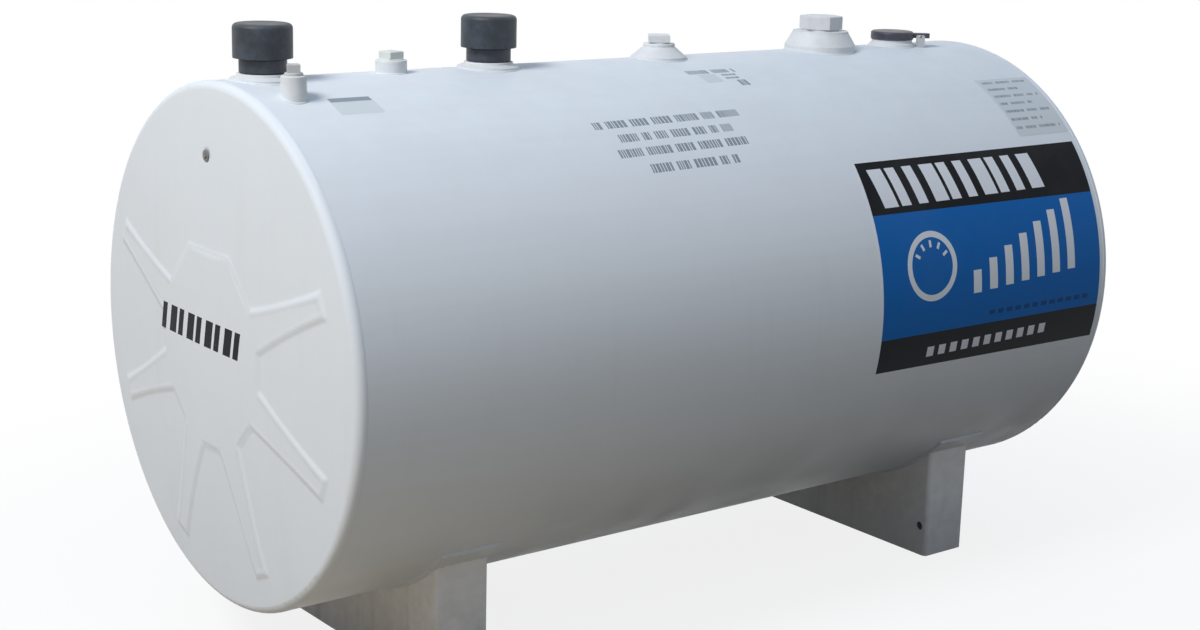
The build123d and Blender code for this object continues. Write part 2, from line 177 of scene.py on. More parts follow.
class TankStage(bpy.types.PropertyGroup):
    """Lamp, sky, floor and camera."""

    key_power: FloatProperty(name="Key power", description="Power of the large soft lamp",
                             default=445.0, min=0.0, unit="POWER")
    key_size: length("Key size", "Side of the square lamp", 2.5, 0.1, 20.0)
    key_distance: length("Key distance", "From the tank to the lamp", 8.5, 1.0, 50.0)
    zenith: colour("Sky above", "Light that comes from overhead", (0.36, 0.46, 0.60))
    horizon: colour("Sky at the horizon", "Light that comes from the side", (0.25, 0.265, 0.285))
    ground: colour("Ground bounce", "Light that the floor gives back", (0.43, 0.345, 0.235))
    floor_size: length("Floor size", "Side of the square floor", 60.0, 4.0, 200.0)
    lens: FloatProperty(name="Lens", description="Focal length on a 36 mm sensor, in mm",
                        default=59.196, min=10.0, max=300.0)


def put(tree, kind, feeds=None, **settings):
    """Adds one node; feeds maps an inlet to a value or to another node's outlet."""
    node = tree.nodes.new("ShaderNode" + kind)
    for setting, value in settings.items():
        setattr(node, setting, value)
    for inlet, value in (feeds or {}).items():
        if isinstance(value, bpy.types.NodeSocket):
            tree.links.new(value, node.inputs[inlet])
        else:
            node.inputs[inlet].default_value = value
    return node


def maths(tree, operation, first, second=0.0, clamp=False):
    """The result of one sum."""
    return put(tree, "Math", {0: first, 1: second}, operation=operation,
               use_clamp=clamp).outputs[0]


def vector_maths(tree, operation, first, second=(0.0, 0.0, 0.0)):
    """The result of one sum on points or directions."""
    return put(tree, "VectorMath", {0: first, 1: second}, operation=operation).outputs["Vector"]


def reach_of(tree, direction):
    """How long a direction is."""
    return put(tree, "VectorMath", {0: direction}, operation="LENGTH").outputs["Value"]


def fade(tree, value, start, stop, low=0.0, high=1.0):
    """A smooth step from low at start to high at stop."""
    feeds = {"Value": value, "From Min": start, "From Max": stop, "To Min": low, "To Max": high}
    return put(tree, "MapRange", feeds, interpolation_type="SMOOTHSTEP").outputs["Result"]


def solid(value):
    """A colour with its alpha, or an outlet as it is."""
    return value if isinstance(value, bpy.types.NodeSocket) else (*value[:3], 1.0)


def tint(tree, amount, under, over):
    """One colour laid over another; a mix takes its colours at inlets 6 and 7."""
    feeds = {0: amount, 6: solid(under), 7: solid(over)}
    return put(tree, "Mix", feeds, data_type="RGBA").outputs[2]


def blend_normals(tree, amount, under, over):
    """A normal between two others; a mix takes its directions at inlets 4 and 5."""
    return put(tree, "Mix", {0: amount, 4: under, 5: over}, data_type="VECTOR").outputs[1]


def weigh(tree, first, first_weight, second, second_weight):
    """The sum of two values, each with its own weight."""
    return maths(tree, "ADD", maths(tree, "MULTIPLY", first, first_weight),
                 maths(tree, "MULTIPLY", second, second_weight))


def mask(tree, first, second, amount):
    """Where two masks meet, as strongly as the amount says."""
    both = maths(tree, "MULTIPLY", first, second)
    return maths(tree, "MULTIPLY", both, amount, clamp=True)


def roughen(tree, dull, dirt, amount):
    """A roughness that dirt or scuffs raise."""
    return maths(tree, "ADD", dull, maths(tree, "MULTIPLY", dirt, amount), clamp=True)


def shade(tone, share_left):
    """A darker or lighter tone of a colour."""
    return tuple(share_left * part for part in tone)


def spot_here(tree):
    """Object coordinates as they are."""
    return put(tree, "TexCoord").outputs["Object"]


def place(tree, stretch=(1.0, 1.0, 1.0)):
    """Object coordinates, stretched along each axis."""
    return put(tree, "Mapping", {"Vector": spot_here(tree), "Scale": stretch}).outputs["Vector"]


def cloud(tree, scale, detail=2.0, rough=0.5, stretch=(1.0, 1.0, 1.0), warp=0.0):
    """Soft noise from 0 to 1 over the surface; its scale may come from an outlet."""
    feeds = {"Vector": place(tree, stretch), "Scale": scale, "Detail": detail,
             "Roughness": rough, "Distortion": warp}
    return put(tree, "TexNoise", feeds).outputs["Fac"]


def part_of(tree, direction, axis):
    """The part of a point or a direction along one axis."""
    return put(tree, "SeparateXYZ", {0: direction}).outputs[axis]


def facing_up(tree):
    """The upward part of the surface's normal."""
    return part_of(tree, put(tree, "NewGeometry").outputs["Normal"], "Z")


def clear_old(store, name):
    """Takes away what an earlier run of a step made under this name."""
    old = store.get(name)
    if old:
        store.remove(old)


def start_effect(name, inlets, outlets):
    """An empty node group with named inlets and outlets."""
    clear_old(bpy.data.node_groups, name)
    tree = bpy.data.node_groups.new(name, "ShaderNodeTree")
    kind = "NodeSocketFloat"
    for label, value in inlets.items():
        socket = tree.interface.new_socket(name=label, in_out="INPUT", socket_type=kind)
        socket.default_value = value
    for label in outlets:
        tree.interface.new_socket(name=label, in_out="OUTPUT", socket_type=kind)
    enter, leave = tree.nodes.new("NodeGroupInput"), tree.nodes.new("NodeGroupOutput")
    return tree, enter.outputs, leave


def close_effect(tree, leave, **results):
    """Links the results to the group's outlets."""
    for label, value in results.items():
        tree.links.new(value, leave.inputs[label])


def use_effect(tree, name, **amounts):
    """Places an effect in a material with its own amounts."""
    node = tree.nodes.new("ShaderNodeGroup")
    node.node_tree = bpy.data.node_groups[name]
    for label, value in amounts.items():
        node.inputs[label.replace("_", " ")].default_value = value
    return node.outputs


def build_rolled_plate():
    """Long, faint bands and lines that the rolls leave along a plate."""
    tree, given, leave = start_effect("Rolled Plate", {"Stretch": 0.12}, ("Tone", "Height"))
    bands = cloud(tree, 5.0, rough=0.45, stretch=(0.12, 1.0, 1.0))
    lines = cloud(tree, 38.0, detail=1.0, stretch=(0.03, 1.0, 1.0))
    broad = cloud(tree, 2.2, detail=1.0, rough=0.4, stretch=(0.5, 1.0, 1.0))
    close_effect(tree, leave, Tone=weigh(tree, bands, 0.7, lines, 0.3),
                 Height=weigh(tree, broad, 0.8, bands, given["Stretch"]))


def build_orange_peel():
    """The fine skin of sprayed enamel or moulded plastic, with patches of duller sheen."""
    tree, given, leave = start_effect("Orange Peel", {"Size": 190.0}, ("Height", "Sheen"))
    skin = cloud(tree, given["Size"], rough=0.55)
    patches = cloud(tree, 7.0, detail=4.0, rough=0.6)
    close_effect(tree, leave, Height=skin, Sheen=patches)


def build_weathering():
    """Dust on what faces up, grime near the ground and runs down what stands upright."""
    tree, given, leave = start_effect(
        "Weathering", {"Dust": 0.3, "Grime": 0.4, "Grime Top": 0.3, "Runs": 0.2},
        ("Dust", "Grime", "Runs"))
    upward = fade(tree, facing_up(tree), 0.25, 0.98)
    settled = fade(tree, cloud(tree, 9.0, detail=5.0, rough=0.65), 0.30, 0.72)
    dust = mask(tree, upward, settled, given["Dust"])
    height_over_ground = part_of(tree, spot_here(tree), "Z")
    splash = maths(tree, "MULTIPLY", cloud(tree, 14.0, detail=6.0, rough=0.7),
                   given["Grime Top"])
    worn_off = maths(tree, "DIVIDE", height_over_ground, maths(tree, "MULTIPLY", splash, 2.0))
    near_ground = maths(tree, "SUBTRACT", 1.0, worn_off, clamp=True)
    grime = maths(tree, "MULTIPLY", near_ground, given["Grime"], clamp=True)
    streaks = fade(tree, cloud(tree, 16.0, detail=3.0, rough=0.6, stretch=(1.0, 1.0, 0.06)),
                   0.52, 0.78)
    upright = maths(tree, "SUBTRACT", 1.0, maths(tree, "ABSOLUTE", facing_up(tree)), clamp=True)
    runs = mask(tree, streaks, upright, given["Runs"])
    close_effect(tree, leave, Dust=dust, Grime=grime, Runs=runs)


def build_edge_wear():
    """Broken bare patches along sharp edges."""
    tree, given, leave = start_effect("Edge Wear", {"Radius": 0.003, "Amount": 0.5}, ("Bare",))
    rounded = put(tree, "Bevel", {"Radius": given["Radius"]}, samples=4).outputs["Normal"]
    plain = put(tree, "NewGeometry").outputs["Normal"]
    match = put(tree, "VectorMath", {0: rounded, 1: plain},
                operation="DOT_PRODUCT").outputs["Value"]
    rubbed = fade(tree, match, 0.995, 0.90)
    broken = fade(tree, cloud(tree, 85.0, detail=5.0, rough=0.7), 0.50, 0.62)
    close_effect(tree, leave, Bare=mask(tree, rubbed, broken, given["Amount"]))


def build_cast_grain():
    """The sandy, pitted skin of a casting."""
    tree, given, leave = start_effect("Cast Grain", {"Size": 420.0}, ("Height", "Tone"))
    grain = cloud(tree, given["Size"], detail=3.0, rough=0.6)
    pits = put(tree, "TexVoronoi", {"Vector": place(tree), "Scale": 260.0}).outputs["Distance"]
    height = weigh(tree, grain, 0.7, fade(tree, pits, 0.05, 0.30), 0.3)
    close_effect(tree, leave, Height=height, Tone=cloud(tree, 22.0, detail=5.0, rough=0.65))


def build_brush_marks():
    """Upright strokes of a paint brush."""
    tree, given, leave = start_effect("Brush Marks", {"Size": 130.0}, ("Height", "Tone"))
    strokes = cloud(tree, given["Size"], detail=3.0, rough=0.6, stretch=(1.0, 1.0, 0.16),
                    warp=0.4)
    close_effect(tree, leave, Height=strokes, Tone=cloud(tree, 30.0, detail=4.0, rough=0.6))


def build_printed_film():
    """Scuffs, a faint orange skin and faded patches of vinyl."""
    tree, given, leave = start_effect("Printed Film", {"Scuffs": 0.5},
                                      ("Scuff", "Height", "Fade"))
    scratch = fade(tree, cloud(tree, 70.0, detail=6.0, rough=0.75, stretch=(0.35, 1.0, 1.0),
                               warp=1.2), 0.60, 0.74)
    scuff = maths(tree, "MULTIPLY", scratch, given["Scuffs"], clamp=True)
    close_effect(tree, leave, Scuff=scuff, Height=cloud(tree, 55.0, detail=3.0),
                 Fade=cloud(tree, 4.5, detail=3.0, rough=0.55))


def start_finish(name, **constants):
    """A new material with its shader; constants are set on the shader's own inlets."""
    clear_old(bpy.data.materials, name)
    material = bpy.data.materials.new(name)
    material.use_nodes = True
    tree = material.node_tree
    tree.nodes.clear()
    shader = put(tree, "BsdfPrincipled")
    for inlet, value in constants.items():
        shader.inputs[inlet.replace("_", " ")].default_value = value
    put(tree, "OutputMaterial", {"Surface": shader.outputs["BSDF"]})
    return tree, shader


def feed(tree, shader, **outlets):
    """Links outlets to the shader's inlets."""
    for inlet, outlet in outlets.items():
        tree.links.new(outlet, shader.inputs[inlet.replace("_", " ")])


def bump(tree, height, distance, strength, under=None):
    """A normal that follows a height."""
    feeds = {"Height": height, "Distance": distance, "Strength": strength}
    if under:
        feeds["Normal"] = under
    return put(tree, "Bump", feeds).outputs["Normal"]


def weather_over(tree, weather, paint):
    """Runs, dust and grime laid over a paint."""
    for layer, tone in (("Runs", RUN_TONE), ("Dust", DUST_TONE), ("Grime", GRIME_TONE)):
        paint = tint(tree, weather[layer], paint, tone)
    return paint


def soft_normal(tree, radius, filled):
    """A normal rounded over the pressed edges of a head, which thick enamel fills a little.

    Filled is the share of the plain dish's normal in it. The rim by the shell is left out,
    because rounding would darken the seam there.
    """
    rim_start, rim_end = SHELL_RADIUS - 0.030, SHELL_RADIUS - 0.015
    rounded = put(tree, "Bevel", {"Radius": radius}, samples=8).outputs["Normal"]
    plain = put(tree, "NewGeometry").outputs["Normal"]
    spot = spot_here(tree)
    from_axis = vector_maths(tree, "SUBTRACT", spot, (0.0, 0.0, AXIS_HEIGHT))
    end = maths(tree, "SIGN", part_of(tree, spot, "X"))
    centre = maths(tree, "MULTIPLY", end, DISH_RADIUS + HEAD_FACE)
    bow = put(tree, "CombineXYZ", {"X": centre}).outputs["Vector"]
    dish = vector_maths(tree, "NORMALIZE", vector_maths(tree, "ADD", from_axis, bow))
    rounded = blend_normals(tree, filled, rounded, dish)
    across = vector_maths(tree, "MULTIPLY", from_axis, (0.0, 1.0, 1.0))
    rim = fade(tree, reach_of(tree, across), rim_start, rim_end)
    return blend_normals(tree, rim, rounded, plain)


def enamel(name, base, finish, runs, rolled, soft=0.0):
    """Sprayed white enamel on steel plate."""
    tree, shader = start_finish(name, Specular_IOR_Level=0.12)
    plate = use_effect(tree, "Rolled Plate", Stretch=0.12)
    peel = use_effect(tree, "Orange Peel", Size=190.0)
    weather = use_effect(tree, "Weathering", Dust=finish.dust, Grime=finish.grime,
                         Grime_Top=0.05, Runs=runs)
    bands = fade(tree, plate["Tone"], 0.30, 0.70, high=rolled)
    paint = weather_over(tree, weather, tint(tree, bands, base, shade(base, 0.93)))
    sheen = fade(tree, peel["Sheen"], 0.3, 0.7, 0.70 - 0.45 * finish.gloss,
                 0.82 - 0.45 * finish.gloss)
    dirt = maths(tree, "ADD", weather["Dust"], weather["Grime"])
    dull = roughen(tree, sheen, dirt, 0.35)
    under = soft_normal(tree, soft, filled=0.30) if soft else None
    waves = bump(tree, plate["Height"], distance=0.012, strength=0.10, under=under)
    feed(tree, shader, Base_Color=paint, Roughness=dull,
         Normal=bump(tree, peel["Height"], distance=0.0008, strength=0.12, under=waves))


def worn_paint(name, base, finish, grime_top, brush, wear_radius, rust):
    """Thinner paint over plate or castings, rubbed through on its edges."""
    tree, shader = start_finish(name, Specular_IOR_Level=0.30)
    strokes = use_effect(tree, "Brush Marks", Size=brush)
    weather = use_effect(tree, "Weathering", Dust=finish.dust, Grime=finish.grime,
                         Grime_Top=grime_top, Runs=0.35)
    wear = use_effect(tree, "Edge Wear", Radius=wear_radius, Amount=finish.chips)
    thin = fade(tree, strokes["Tone"], 0.35, 0.70)
    paint = weather_over(tree, weather, tint(tree, thin, base, shade(base, 0.94)))
    rusty = fade(tree, strokes["Tone"], 0.42, 0.60, high=rust)
    paint = tint(tree, wear["Bare"], paint, tint(tree, rusty, STEEL_TONE, RUST_TONE))
    sheen = fade(tree, strokes["Tone"], 0.3, 0.7, 0.42, 0.58)
    dull = roughen(tree, sheen, weather["Grime"], 0.3)
    feed(tree, shader, Base_Color=paint, Roughness=dull,
         Normal=bump(tree, strokes["Height"], distance=0.0010, strength=0.22))


def cast_coating(name, base, finish, grain, gloss):
    """Dark coating on a casting, dusty on top and grey on its edges."""
    tree, shader = start_finish(name, Specular_IOR_Level=0.40)
    cast = use_effect(tree, "Cast Grain", Size=grain)
    weather = use_effect(tree, "Weathering", Dust=finish.dust, Runs=0.25)
    wear = use_effect(tree, "Edge Wear", Radius=0.003, Amount=0.8)
    lighter = tuple(min(1.0, 1.9 * part + 0.01) for part in base)
    coat = tint(tree, fade(tree, cast["Tone"], 0.35, 0.72), base, lighter)
    coat = tint(tree, weather["Runs"], coat, shade(DUST_TONE, 0.4))
    coat = tint(tree, weather["Dust"], coat, shade(DUST_TONE, 0.55))
    coat = tint(tree, wear["Bare"], coat, (0.15, 0.155, 0.165))
    feed(tree, shader, Base_Color=coat,
         Roughness=fade(tree, cast["Tone"], 0.3, 0.7, gloss, gloss + 0.16),
         Normal=bump(tree, cast["Height"], distance=0.0009, strength=0.45))


def plug_plastic(name, base, finish):
    """Moulded plastic with a faint sink and a chalky, handled surface."""
    tree, shader = start_finish(name, Specular_IOR_Level=0.4)
    mould = use_effect(tree, "Orange Peel", Size=520.0)
    weather = use_effect(tree, "Weathering", Dust=finish.dust)
    wear = use_effect(tree, "Edge Wear", Radius=0.002, Amount=0.5)
    plastic = tint(tree, fade(tree, mould["Sheen"], 0.35, 0.7), base, shade(base, 0.88))
    plastic = tint(tree, weather["Dust"], plastic, DUST_TONE)
    plastic = tint(tree, wear["Bare"], plastic, (0.82, 0.83, 0.80))
    feed(tree, shader, Base_Color=plastic,
         Roughness=fade(tree, mould["Sheen"], 0.3, 0.7, 0.42, 0.56),
         Normal=bump(tree, mould["Height"], distance=0.0005, strength=0.30))


def film(name, base, rubbed, scuffs, gloss):
    """Printed vinyl with scuffs and a faded cast."""
    tree, shader = start_finish(name, Specular_IOR_Level=0.07)
    vinyl = use_effect(tree, "Printed Film", Scuffs=scuffs)
    weather = use_effect(tree, "Weathering", Dust=0.015, Runs=0.015)
    faded = tuple(part + 0.02 * (0.5 - part) for part in base)
    ink = tint(tree, fade(tree, vinyl["Fade"], 0.35, 0.70), base, faded)
    ink = tint(tree, vinyl["Scuff"], ink, rubbed)
    ink = tint(tree, weather["Dust"], ink, DUST_TONE)
    ink = tint(tree, weather["Runs"], ink, RUN_TONE)
    sheen = fade(tree, vinyl["Fade"], 0.3, 0.7, gloss, gloss + 0.12)
    dull = roughen(tree, sheen, vinyl["Scuff"], 0.3)
    feed(tree, shader, Base_Color=ink, Roughness=dull,
         Normal=bump(tree, vinyl["Height"], distance=0.0006, strength=0.12))


def finish_of(name):
    """A finished material, which an earlier step has mixed."""
    material = bpy.data.materials.get(name)
    if material is None:
        raise RuntimeError(f"{name} is mixed by the first step, which hasn't run")
    return material


def paint_nodes(finish_name, *names):
    """Gives CAD nodes a finish."""
    for name in names:
        for slot in NODES[name].material_slots:
            slot.material = finish_of(finish_name)


def new_object(name, data):
    """An object in the scene, in place of what an earlier run made."""
    clear_old(bpy.data.objects, name)
    item = bpy.data.objects.new(name, data)
    bpy.context.scene.collection.objects.link(item)
    return item


def add_piece(name, mesh, finish_name):
    """One finished piece at the origin, which rides on the tank."""
    piece = new_object(name, mesh)
    mesh.materials.clear()
    mesh.materials.append(finish_of(finish_name))
    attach(piece, "root")


def on_shell(along, degrees, radius):
    """A point on a cylinder round the tank's axis; degrees count from the crown."""
    angle = math.radians(degrees)
    return Vector((along, -radius * math.sin(angle), AXIS_HEIGHT + radius * math.cos(angle)))


def ring_on_crown(along, across, radius, steps=96):
    """A circle seen from above, dropped onto the shell."""
    points = []
    for step in range(steps):
        angle = 2.0 * math.pi * step / steps
        side = across + radius * math.sin(angle)
        top = AXIS_HEIGHT + math.sqrt(SHELL_RADIUS * SHELL_RADIUS - side * side)
        points.append(Vector((along + radius * math.cos(angle), side, top)))
    return points


def arc_below(half_width, radius, margin=0.0, steps=40):
    """Degrees from the crown, under the tank, over a plate's width less a margin."""
    reach = math.degrees(math.asin(half_width / radius)) - margin
    return [180.0 - reach + 2.0 * reach * step / steps for step in range(steps + 1)]


def walk(corners, pitch, closed):
    """Points along straight runs, one pitch apart."""
    points = []
    ends = corners[1:] + corners[:1] if closed else corners[1:]
    for start, stop in zip(corners, ends):
        steps = max(1, round((stop - start).length / pitch))
        points.extend(start.lerp(stop, step / steps) for step in range(steps))
    if not closed:
        points.append(corners[-1])
    return points


def lay_bead(name, corners, radius, ripple, closed=True, smooth=2):
    """A rippled weld bead along a run of points."""
    pitch = 0.0022
    ripple_length = 0.0066
    drift = 0.25
    chance = random.Random(name)
    curve = bpy.data.curves.new(name, "CURVE")
    curve.dimensions = "3D"
    curve.bevel_depth = radius
    curve.bevel_resolution = smooth
    curve.use_fill_caps = not closed
    points = walk(corners, pitch, closed)
    spline = curve.splines.new("POLY")
    spline.points.add(len(points) - 1)
    spline.use_cyclic_u = closed
    swell = 0.0
    for step, point in enumerate(points):
        swell += drift * (chance.uniform(-1.0, 1.0) - swell)
        wave = math.cos(2.0 * math.pi * step * pitch / ripple_length)
        spline.points[step].co = (*point, 1.0)
        spline.points[step].radius = 1.0 + ripple * (0.5 * wave + swell)
    holder = new_object(name + "_run", curve)
    bpy.context.view_layer.update()
    mesh = bpy.data.meshes.new_from_object(
        holder.evaluated_get(bpy.context.evaluated_depsgraph_get()))
    bpy.data.objects.remove(holder)
    bpy.data.curves.remove(curve)
    mesh.name = name
    for face in mesh.polygons:
        face.use_smooth = True
    add_piece(name, mesh, "weld_enamel")


def add_outline(sheet, corners, rounding=0.0):
    """A flat panel from its corners, along and around, with its corners rounded."""
    made = [sheet.verts.new((along, around, 0.0)) for along, around in corners]
    sheet.faces.new(made)
    if rounding:
        bmesh.ops.bevel(sheet, geom=made, offset=rounding, segments=4, profile=0.5,
                        affect="VERTICES", material=-1)


def add_bar(sheet, left, top, width, height, lean=0.0, rounding=0.0):
    """An upright or leaning bar."""
    corners = [(left + lean, top), (left + width + lean, top), (left + width, top + height),
               (left, top + height)]
    add_outline(sheet, corners, rounding)


def add_bars(sheet, count, pitch, left, top, width, height, climb=0.0):
    """A row of like bars; each may stand a little higher than the last."""
    for number in range(count):
        add_bar(sheet, left + pitch * number, top - climb * number, width, height)


def add_dashes(sheet, chance, start, stop, around, tall, slope=0.0):
    """A broken row of small bars, in short groups, from start to stop."""
    group_lengths = (0.030, 0.044, 0.058, 0.072)
    widths = (0.004, 0.006, 0.009)
    bar_gap, group_gap = 0.003, 0.012
    least_bar, least_group = 0.006, 0.008
    along = start
    while along < stop - least_group:
        group = min(stop, along + chance.choice(group_lengths))
        while along < group - least_bar:
            wide = chance.choice(widths)
            add_bar(sheet, along, around - slope * (along - start), wide, tall)
            along += wide + bar_gap
        along += group_gap


def add_ring(sheet, along, around, radius, width, segments=48):
    """A flat ring."""
    made = bmesh.ops.create_circle(sheet, cap_ends=True, segments=segments, radius=radius)
    disc = made["verts"][0].link_faces[0]
    bmesh.ops.translate(sheet, verts=made["verts"], vec=(along, around, 0.0))
    bmesh.ops.inset_region(sheet, faces=[disc], thickness=width, use_even_offset=True,
                           use_boundary=True)
    bmesh.ops.delete(sheet, geom=[disc], context="FACES")


def sheet_body(sheet, low, high, pitch, bend):
    """Gives a flat sheet its thickness, cuts it at each pitch and bends it."""
    rows = [vert.co.y for vert in sheet.verts]
    row = math.ceil(min(rows) / pitch)
    while row * pitch < max(rows):
        bmesh.ops.bisect_plane(sheet, geom=sheet.verts[:] + sheet.edges[:] + sheet.faces[:],
                               plane_co=(0.0, row * pitch, 0.0), plane_no=(0.0, 1.0, 0.0),
                               dist=1e-6)
        row += 1
    bmesh.ops.translate(sheet, verts=sheet.verts, vec=(0.0, 0.0, low))
    grown = bmesh.ops.extrude_face_region(sheet, geom=sheet.faces[:], use_keep_orig=True)
    raised = [item for item in grown["geom"] if isinstance(item, bmesh.types.BMVert)]
    bmesh.ops.translate(sheet, verts=raised, vec=(0.0, 0.0, high - low))
    for vert in sheet.verts:
        vert.co = bend(vert.co)
    bmesh.ops.recalc_face_normals(sheet, faces=sheet.faces)


def to_shell(spot):
    """From along, around and out to the tank's own axes."""
    return on_shell(spot.x, spot.y / ARC_PER_DEGREE, SHELL_RADIUS + spot.z)


def to_head(spot):
    """From across, up and out to the near head's dished face."""
    drop = DISH_RADIUS - math.sqrt(DISH_RADIUS ** 2 - spot.x ** 2 - spot.y ** 2)
    return Vector((HEAD_FACE + drop - spot.z, -spot.x, AXIS_HEIGHT + spot.y))


def stick(name, sheet, finish_name, bend=to_shell, sink=FILM_SINK, pitch=ARC_PER_DEGREE):
    """Turns a flat drawing into a thin closed sheet on the tank."""
    sheet_body(sheet, -sink, FILM_TOPS[name], pitch, bend)
    mesh = bpy.data.meshes.new(name)
    sheet.to_mesh(mesh)
    sheet.free()
    add_piece(name, mesh, finish_name)


class FUEL_TANK_OT_mix_finishes(bpy.types.Operator):
    """Mix every finish that the tank uses"""

    bl_idname = "fuel_tank.mix_finishes"
    bl_label = "Mix Finishes"

    def execute(self, context):
        finish = context.scene.tank_finish
        trim = context.scene.tank_trim
        for build in (build_rolled_plate, build_orange_peel, build_weathering, build_edge_wear,
                      build_cast_grain, build_brush_marks, build_printed_film):
            build()
        self.mix_paints(finish)
        self.mix_coatings(finish)
        self.mix_films(trim)
        return {"FINISHED"}

    @staticmethod
    def mix_paints(finish):
        """Enamel of the tank and paint of saddles and ports."""
        white = finish.enamel
        enamel("shell_enamel", white, finish, runs=0.06, rolled=0.45)
        enamel("head_enamel", white, finish, runs=0.04, rolled=0.20, soft=0.014)
        enamel("weld_enamel", shade(white, 0.96), finish, runs=0.2, rolled=0.1)
        plate = {"brush": 90.0, "wear_radius": 0.004}
        worn_paint("saddle_enamel", finish.saddle, finish, grime_top=0.22, rust=0.8, **plate)
        worn_paint("foot_enamel", shade(finish.saddle, 0.8), finish, grime_top=0.5, rust=1.0,
                   **plate)
        port = {"grime_top": 0.05, "brush": 150.0, "wear_radius": 0.0025, "rust": 0.35}
        worn_paint("port_enamel", finish.ports, finish, **port)
        # A darker copy of the port paint, with the same sheen, for the monitor plug and the fill
        # hasp.
        worn_paint("darker_port_enamel", shade(finish.ports, 0.74), finish, **port)

    @staticmethod
    def mix_coatings(finish):
        """Dark castings and the pale plug."""
        cast_coating("vent_coating", finish.vents, finish, grain=420.0, gloss=0.42)
        cast_coating("cap_coating", finish.cap, finish, grain=520.0, gloss=0.36)
        cast_coating("head_plug_coating", finish.plug, finish, grain=420.0, gloss=0.48)
        plug_plastic("gauge_plastic", finish.gauge, finish)

    @staticmethod
    def mix_films(trim):
        """Vinyl and ink, each with the tone that shows where it is rubbed."""
        film("blue_vinyl", trim.blue, (0.03, 0.16, 0.42), scuffs=0.18, gloss=0.38)
        film("deep_blue_vinyl", shade(trim.blue, 0.45), (0.02, 0.08, 0.22), scuffs=0.25,
             gloss=0.38)
        film("black_vinyl", trim.black, (0.04, 0.045, 0.055), scuffs=0.30, gloss=0.38)
        film("pale_vinyl", trim.pale, (0.45, 0.47, 0.50), scuffs=0.50, gloss=0.40)
        film("grey_ink", trim.print_grey, (0.55, 0.58, 0.62), scuffs=0.60, gloss=0.40)
        film("label_film", trim.label, (0.60, 0.64, 0.68), scuffs=0.30, gloss=0.34)
        film("head_ink", trim.black, (0.40, 0.42, 0.44), scuffs=0.50, gloss=0.36)


class FUEL_TANK_OT_paint_body(bpy.types.Operator):
    """Paint the shell, the heads and the head plug"""

    bl_idname = "fuel_tank.paint_body"
    bl_label = "Paint Shell and Heads"

    def execute(self, context):
        paint_nodes("shell_enamel", "shell")
        paint_nodes("head_enamel", "near_head", "far_head")
        paint_nodes("head_plug_coating", "head_plug")
        return {"FINISHED"}


class FUEL_TANK_OT_paint_saddles(bpy.types.Operator):
    """Paint the saddles, their foot plates and wear plates"""

    bl_idname = "fuel_tank.paint_saddles"
    bl_label = "Paint Saddles"

    def execute(self, context):
        for end in ("near", "far"):
            paint_nodes("saddle_enamel", end + "_saddle")
            paint_nodes("shell_enamel", end + "_wear_plate")
            paint_nodes("foot_enamel", end + "_saddle_foot")
        return {"FINISHED"}


class FUEL_TANK_OT_finish_ports(bpy.types.Operator):
    """Finish the ports, plugs, vents and the fill cap"""

    bl_idname = "fuel_tank.finish_ports"
    bl_label = "Finish Ports and Vents"

    def execute(self, context):
        paint_nodes("port_enamel", *PORTS, "pump_plug", "large_plug")
        # The monitor plug and the fill hasp take the darker copy of the port paint.
        paint_nodes("darker_port_enamel", "monitor_plug", "fill_hasp")
        paint_nodes("vent_coating", "near_vent_body", "near_vent_hood", "middle_vent_body",
                    "middle_vent_hood")
        paint_nodes("gauge_plastic", "gauge_plug")
        paint_nodes("cap_coating", "fill_cap")
        return {"FINISHED"}


class FUEL_TANK_OT_weld_body(bpy.types.Operator):
    """Lay the beads in the seams between shell and heads, and round each port"""

    bl_idname = "fuel_tank.weld_body"
    bl_label = "Weld Seams and Ports"

    def execute(self, context):
        trim = context.scene.tank_trim
        self.weld_seams(trim.ripple)
        for port in PORTS:
            low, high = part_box(port)
            middle = (low + high) / 2.0
            ring = ring_on_crown(middle.x, middle.y, (high.y - low.y) / 2.0)
            lay_bead(port.rsplit("_", 1)[0] + "_port_bead", ring, trim.bead, trim.ripple)
        return {"FINISHED"}

    @staticmethod
    def weld_seams(ripple):
        """A smooth bead in each seam's groove, nearly level with the shell."""
        bead, bead_middle = 0.0060, SHELL_RADIUS - 0.0059
        calmer = 0.2
        corners, degrees = 240, 1.5
        for end, along in (("near", -SEAM_PLACE), ("far", SEAM_PLACE)):
            ring = [on_shell(along, degrees * corner, bead_middle) for corner in range(corners)]
            lay_bead(end + "_seam_bead", ring, bead, calmer * ripple, smooth=6)


class FUEL_TANK_OT_weld_saddles(bpy.types.Operator):
    """Lay the beads round the wear plates and along the saddles"""

    bl_idname = "fuel_tank.weld_saddles"
    bl_label = "Weld Saddles"

    def execute(self, context):
        trim = context.scene.tank_trim
        plate_radius = SHELL_RADIUS + WEAR_PLATE_THICKNESS
        for end in ("near", "far"):
            low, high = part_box(end + "_wear_plate")
            arc = arc_below(high.y, plate_radius)
            rim = [on_shell(low.x, degrees, SHELL_RADIUS) for degrees in arc]
            rim += [on_shell(high.x, degrees, SHELL_RADIUS) for degrees in reversed(arc)]
            lay_bead(end + "_wear_plate_bead", rim, trim.bead, trim.ripple)
            low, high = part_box(end + "_saddle")
            arc = arc_below(high.y, plate_radius, margin=0.5)
            web = [on_shell(low.x, degrees, plate_radius) for degrees in arc]
            lay_bead(end + "_web_bead", web, trim.bead, trim.ripple,
                     closed=False)
        return {"FINISHED"}


